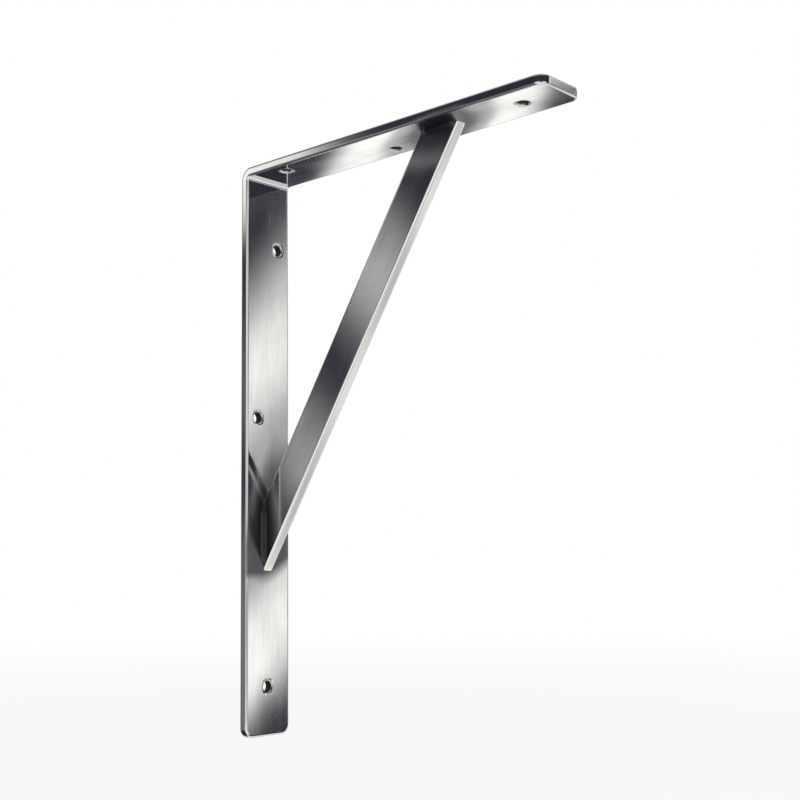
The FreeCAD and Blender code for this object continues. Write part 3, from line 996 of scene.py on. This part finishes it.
def ring_panels(outlook):
    """Panels in rings round an axis that leans towards the camera.

    Their tone is a power of a wave along the axis. On the right they lose strength as they rise,
    and end towards the back. On the left they are weak, weaker still at the back, and below them
    is a faint glow.
    """
    axis = outlook.axis
    right = outlook.right.step(0.0, MIDDLE_BLUR)
    left = 1 - right
    rings = axis.waves(RING_START, RING_SPACING)
    rings = rings ** (RING_POWER - right * axis.rise(*RING_WIDENING))
    rings = rings * axis.step(RING_LOWEST, RING_BLUR)
    on_right = right * (1 - axis.step(RIGHT_HIGHEST, RIGHT_BLUR))
    on_right = on_right * (1 - outlook.back.rise(*RIGHT_END)) * (RIGHT_STRENGTH - axis * RIGHT_FALL)
    on_left = left * (1 - axis.step(LEFT_HIGHEST, LEFT_BLUR)) * axis.step(LEFT_LOWEST, RING_BLUR)
    on_left = on_left * (1 - outlook.back.rise(*LEFT_DIMMING)) * LEFT_STRENGTH
    return rings * (on_right + on_left) + LEFT_GLOW * left * (1 - axis.rise(*LEFT_GLOW_END))


def small_lamp(outlook):
    """A round lamp: full at its middle, and nothing at its radius."""
    towards = outlook.along(Vector(LAMP_DIRECTION).normalized())
    return towards.rise(math.cos(LAMP_RADIUS), 1.0, LAMP_STRENGTH)


def white_cloth(outlook):
    """A cloth round the camera with faint waves over its height and a dark opening in it."""
    towards = outlook.along(Vector(OPENING_DIRECTION).normalized())
    outer = math.cos(OPENING_RADIUS * (1 + OPENING_BLUR))
    inner = math.cos(OPENING_RADIUS * (1 - OPENING_BLUR))
    cloth = (1 - outlook.back.rise(*CLOTH_SIDES)) * (1 - towards.rise(outer, inner))
    cloth = cloth * (1 - outlook.up.step(CLOTH_TOP, CLOTH_BLUR)) * CLOTH_STRENGTH
    return cloth * outlook.up.waves(CLOTH_START, CLOTH_SPACING).faint(CLOTH_WAVE)


def floor_light(outlook):
    """The bright floor with faint rings over its height, and upright panels at the back.

    The panels' tone is a wave that follows the azimuth and leans with the height.
    """
    behind = outlook.back.rise(*PANELS_BEHIND)
    floor = outlook.up.waves(FLOOR_START, FLOOR_SPACING).faint(FLOOR_WAVE) * FLOOR_STRENGTH
    floor = floor * (1 - behind) * outlook.right.rise(*FLOOR_LEFT_END)
    azimuth = outlook.right.math("ARCTAN2", outlook.right, outlook.back)
    panels = (azimuth + outlook.up * PANEL_LEAN).waves(PANEL_START, PANEL_SPACING)
    return floor + panels.rise(*PANEL_EDGES) * behind


def light_room(studio):
    """A pale room. The camera sees it plain white, and metal mirrors it as panels with dark gaps.

    Below is the floor, overhead an even ceiling that ends towards the back, and between them are
    the rings, one small lamp, the cloth round the camera and a bright backdrop.
    """
    world = bpy.data.worlds.new("studio")
    bpy.context.scene.world = world
    tree = NodeTree(world)
    outlook = Outlook(tree, studio)
    below = 1 - outlook.axis.rise(FLOOR_HIGHEST - FLOOR_BLUR, FLOOR_HIGHEST)
    overhead = outlook.up.rise(*CEILING) * (1 - outlook.back.rise(*CEILING_END))
    share = ring_panels(outlook) + small_lamp(outlook) + white_cloth(outlook)
    share = (share + outlook.back.rise(*BACKDROP)) * (1 - below) * (1 - overhead)
    share = share + below * floor_light(outlook) + overhead * CEILING_STRENGTH
    mirrored = tree.mix(share, studio.dark_tone, studio.light_tone)
    seen = tree.add("ShaderNodeLightPath", output="Is Camera Ray")
    colour = tree.mix(seen, mirrored, (1, 1, 1))
    background = tree.add("ShaderNodeBackground", None, {"Color": colour, "Strength": 1.0})
    tree.add("ShaderNodeOutputWorld", None, {"Surface": background})


def pale_floor(tone):
    """Matt paint that the camera sees as nearly plain white, and as all white farther away."""
    material = bpy.data.materials.new("pale_floor")
    tree = NodeTree(material)
    paint = tree.add("ShaderNodeBsdfDiffuse", None, {"Color": (*tone, 1.0)})
    white = tree.add("ShaderNodeEmission", None, {"Color": (1, 1, 1, 1), "Strength": 1.0})
    place = tree.add("ShaderNodeTexCoord", output="Object")
    distance = tree.add("ShaderNodeVectorMath", {"operation": "LENGTH"}, {0: place}, output="Value")
    whiteness = distance.rise(*FLOOR_FADE).faint(1 - FLOOR_WHITENESS)
    seen = tree.add("ShaderNodeLightPath", output="Is Camera Ray") * whiteness
    surface = tree.add("ShaderNodeMixShader", None, {0: seen, 1: paint, 2: white})
    tree.add("ShaderNodeOutputMaterial", None, {"Surface": surface})
    return material


def make_floor(studio):
    """A round floor under the upright's lower end, as a grid of rings about it."""
    radii = np.concatenate([[0.0], np.geomspace(FLOOR_FIRST_RING, FLOOR_RADIUS, FLOOR_RINGS)])
    angle = np.linspace(0, 2 * math.pi, FLOOR_CORNERS, endpoint=False)
    x = radii[:, None] * np.cos(angle) + BAR_LOW.x
    y = radii[:, None] * np.sin(angle)
    patchwork = Patchwork()
    patchwork.add(level(x, y, BAR_LOW.z - FLOOR_GAP), closed=True)
    mesh = patchwork.loose_mesh("floor", np.concatenate(patchwork.points))
    mesh.validate()
    mesh.materials.append(pale_floor(studio.floor_tone))
    floor = add_object("floor", mesh)
    floor.visible_glossy = False


# Operators

def finish_piece(piece, material, slot, *nodes):
    """Gives a piece its material, hangs it under the root body and hides its CAD nodes."""
    piece.data.materials.append(material)
    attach(piece, "root")
    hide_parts(*nodes)


class BRACKET_OT_bent_bar(bpy.types.Operator):
    """Make the bent bar with its six screw holes"""

    bl_idname = "bracket.bent_bar"
    bl_label = "Bent Bar"

    def execute(self, context):
        bar = BentBar(context.scene.bracket_bar)
        patchwork = Patchwork()
        for depth in (0.0, bar.thickness):
            lay_bar_face(patchwork, bar, depth)
        lay_bar_rim(patchwork, bar)
        for hole in bar.holes:
            lay_screw_hole(patchwork, bar, hole)
        piece = patchwork.sew("plated_bent_bar", bar.place)
        material = plated_steel("plated_bar", context.scene.bracket_finish, seed=1.0)
        finish_piece(piece, material, "plated_bar", "bent_bar")
        return {"FINISHED"}


class BRACKET_OT_strut(bpy.types.Operator):
    """Make the strut, cut flush with upright and arm"""

    bl_idname = "bracket.strut"
    bl_label = "Strut"

    def execute(self, context):
        strut = Strut(context.scene.bracket_strut)
        patchwork = Patchwork()
        lay_strut(patchwork, strut)
        piece = patchwork.sew("plated_strut", strut.place)
        material = plated_steel("plated_strut", context.scene.bracket_finish, seed=2.0)
        finish_piece(piece, material, "plated_strut", "strut")
        return {"FINISHED"}


class BRACKET_OT_welds(bpy.types.Operator):
    """Make the four rippled weld beads"""

    bl_idname = "bracket.welds"
    bl_label = "Weld Beads"

    def execute(self, context):
        finish = context.scene.bracket_finish
        material = plated_steel(
            "plated_weld", finish, seed=3.0, tone=tuple(finish.weld_tone),
            more_roughness=WELD_ROUGHNESS, specks_high=WELD_SPECK_HEIGHT)
        for number, node in enumerate(WELD_NODES, start=1):
            weld = Weld(node)
            patchwork = Patchwork()
            lay_weld(patchwork, context.scene.bracket_welds, weld, np.random.default_rng(number))
            piece = patchwork.sew("plated_" + node, weld.place)
            finish_piece(piece, material, "plated_weld", node)
        return {"FINISHED"}


class BRACKET_OT_stage(bpy.types.Operator):
    """Set up the camera, the floor and the light"""

    bl_idname = "bracket.stage"
    bl_label = "Stage"

    def execute(self, context):
        studio = context.scene.bracket_studio
        place_camera(studio)
        light_room(studio)
        make_floor(studio)
        context.scene.view_settings.view_transform = "Standard"
        return {"FINISHED"}


class BRACKET_PT_sidebar(bpy.types.Panel):
    """The bracket's sizes and the buttons that make it"""

    bl_idname = "BRACKET_PT_sidebar"
    bl_label = "Shelf Bracket"
    bl_space_type = "VIEW_3D"
    bl_region_type = "UI"
    bl_category = "Shelf Bracket"

    def draw(self, context):
        for name in GROUPS:
            box = self.layout.box()
            group = getattr(context.scene, name)
            for key in group.__annotations__:
                box.prop(group, key)
        for operator in OPERATORS:
            self.layout.operator(operator.bl_idname)


GROUPS = {
    "bracket_bar": BentBarSizes,
    "bracket_strut": StrutSizes,
    "bracket_welds": WeldSizes,
    "bracket_finish": PlateFinish,
    "bracket_studio": StudioSettings,
}
OPERATORS = (BRACKET_OT_stage, BRACKET_OT_bent_bar, BRACKET_OT_strut, BRACKET_OT_welds)
CLASSES = (*GROUPS.values(), *OPERATORS, BRACKET_PT_sidebar)


def register():
    for cls in CLASSES:
        bpy.utils.register_class(cls)
    for name, group in GROUPS.items():
        setattr(bpy.types.Scene, name, PointerProperty(type=group))


def unregister():
    for name in GROUPS:
        delattr(bpy.types.Scene, name)
    for cls in reversed(CLASSES):
        bpy.utils.unregister_class(cls)


def main():
    register()
    bpy.ops.bracket.stage()
    bpy.ops.bracket.bent_bar()
    bpy.ops.bracket.strut()
    bpy.ops.bracket.welds()


if __name__ == "__main__":
    main()
